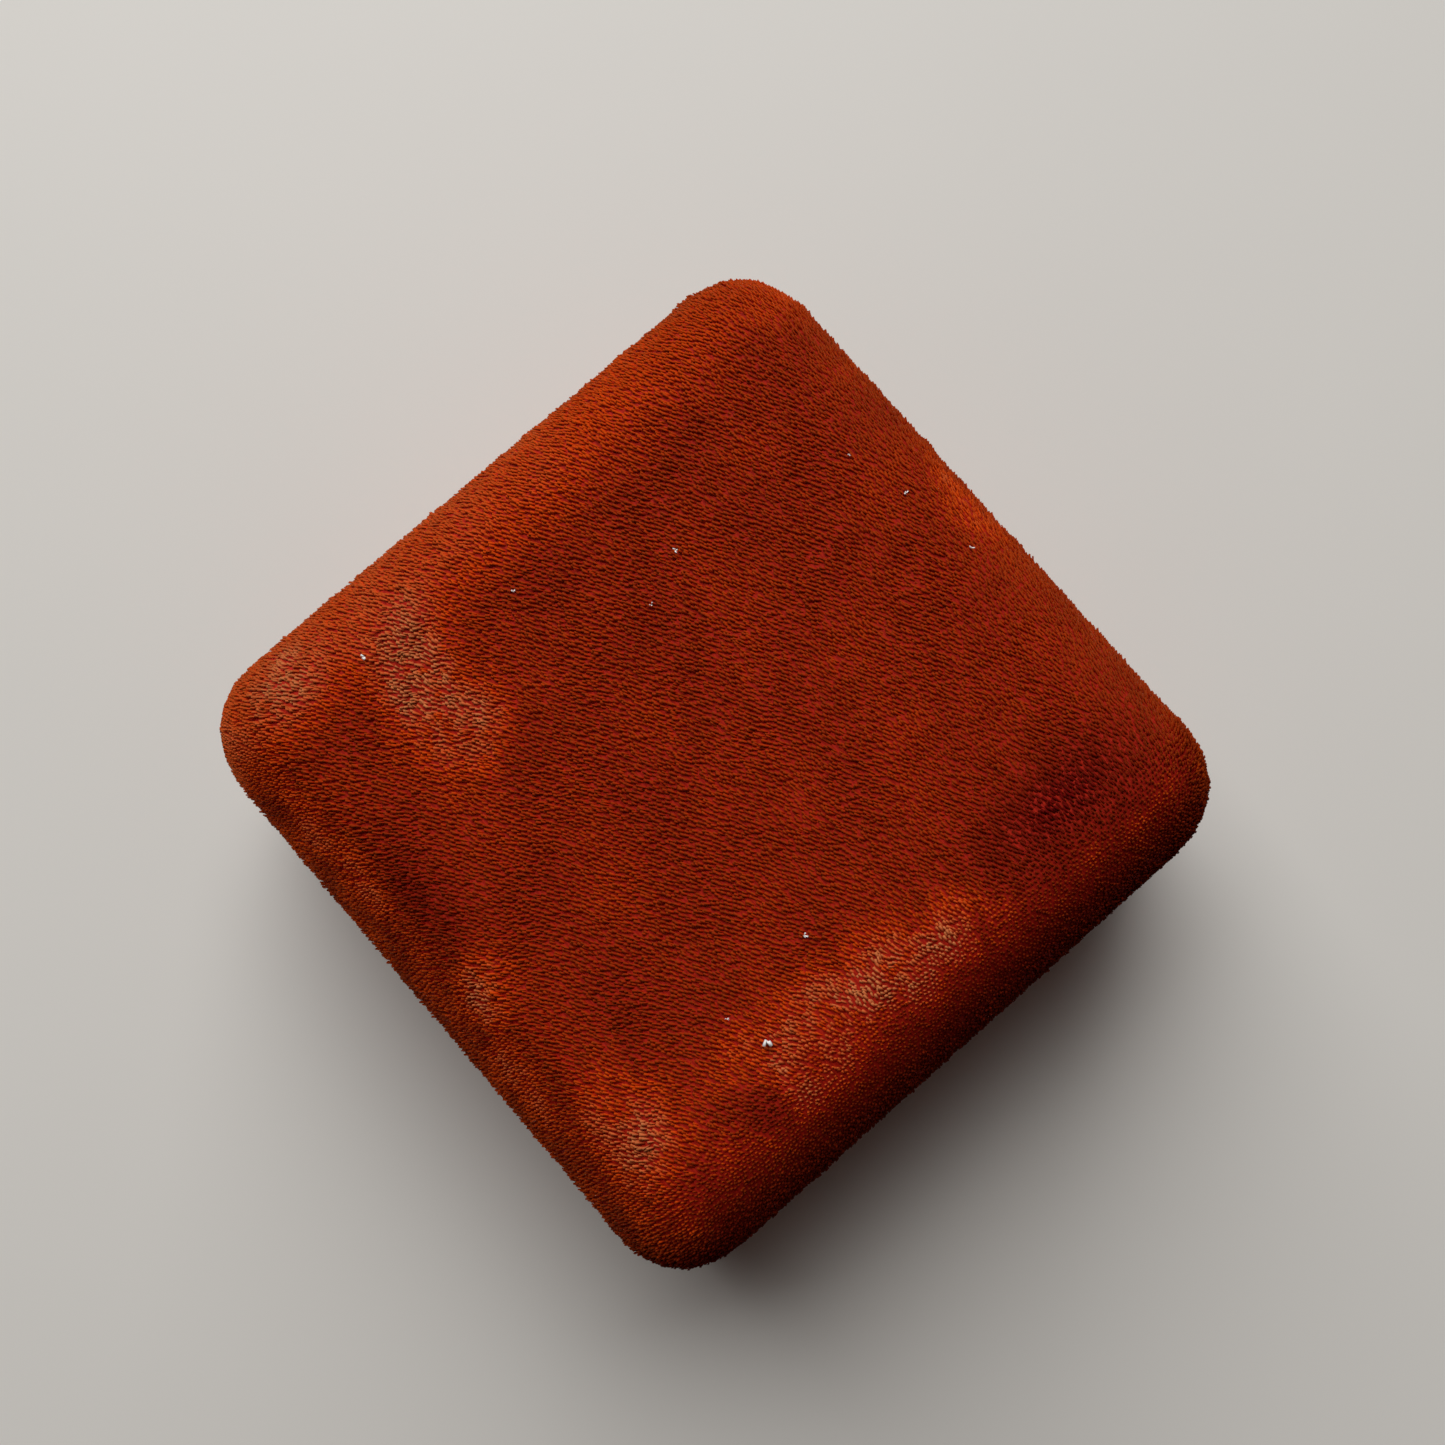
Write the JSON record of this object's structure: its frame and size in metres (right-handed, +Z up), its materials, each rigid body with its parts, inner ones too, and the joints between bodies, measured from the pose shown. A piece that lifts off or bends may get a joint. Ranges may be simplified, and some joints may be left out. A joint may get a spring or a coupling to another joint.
{
  "type": "jewellery case",
  "caption": "Square velvet-covered snap case with rounded edges, a domed lid on a back hinge, gilt rims, satin lining and a slotted ring cushion.",
  "frame": {"origin": "centre of the case's plan, on the surface that it stands on", "axes": "+Z up, +Y towards the hinge at the back, +X to the right as seen from the front"},
  "size_m": [0.07, 0.07, 0.034],
  "materials": {
    "velvet": "cut pile velvet",
    "cushion_velvet": "short pile velvet",
    "satin": "satin weave",
    "wadding": "loose fibre wadding",
    "foam": "open-cell foam",
    "card": "grey board",
    "moulding": "matte",
    "gilt": "gilt, polished",
    "pin_steel": "drawn wire",
    "spring_steel": "blued spring strip",
    "leatherette": "fine grained leatherette"
  },
  "bodies": {
    "base": {"base_shell": "moulding", "base_velvet": "velvet", "bottom_board": "card", "bottom_sheet": "leatherette", "base_rim": "gilt", "hinge_pin": "pin_steel", "bow_spring_left": "spring_steel", "bow_spring_right": "spring_steel", "base_side_lining": "satin", "cushion_board": "card", "cushion_foam_front": "foam", "cushion_foam_back": "foam", "cushion_velvet_front": "cushion_velvet", "cushion_velvet_back": "cushion_velvet"},
    "lid": {"lid_shell": "moulding", "lid_wadding": "wadding", "lid_velvet": "velvet", "lid_rim": "gilt", "lid_side_lining": "satin", "lid_pad_board": "card", "lid_pad_wadding": "wadding", "lid_pad_satin": "satin"}
  },
  "joints": [
    {"name": "lid_hinge", "type": "hinge", "parent": "base", "child": "lid", "pos_m": [0, 0.034, 0.017], "axis": [-1, 0, 0], "range_deg": [0, 100], "deforming": ["bow_spring_left", "bow_spring_right"]}
  ]
}
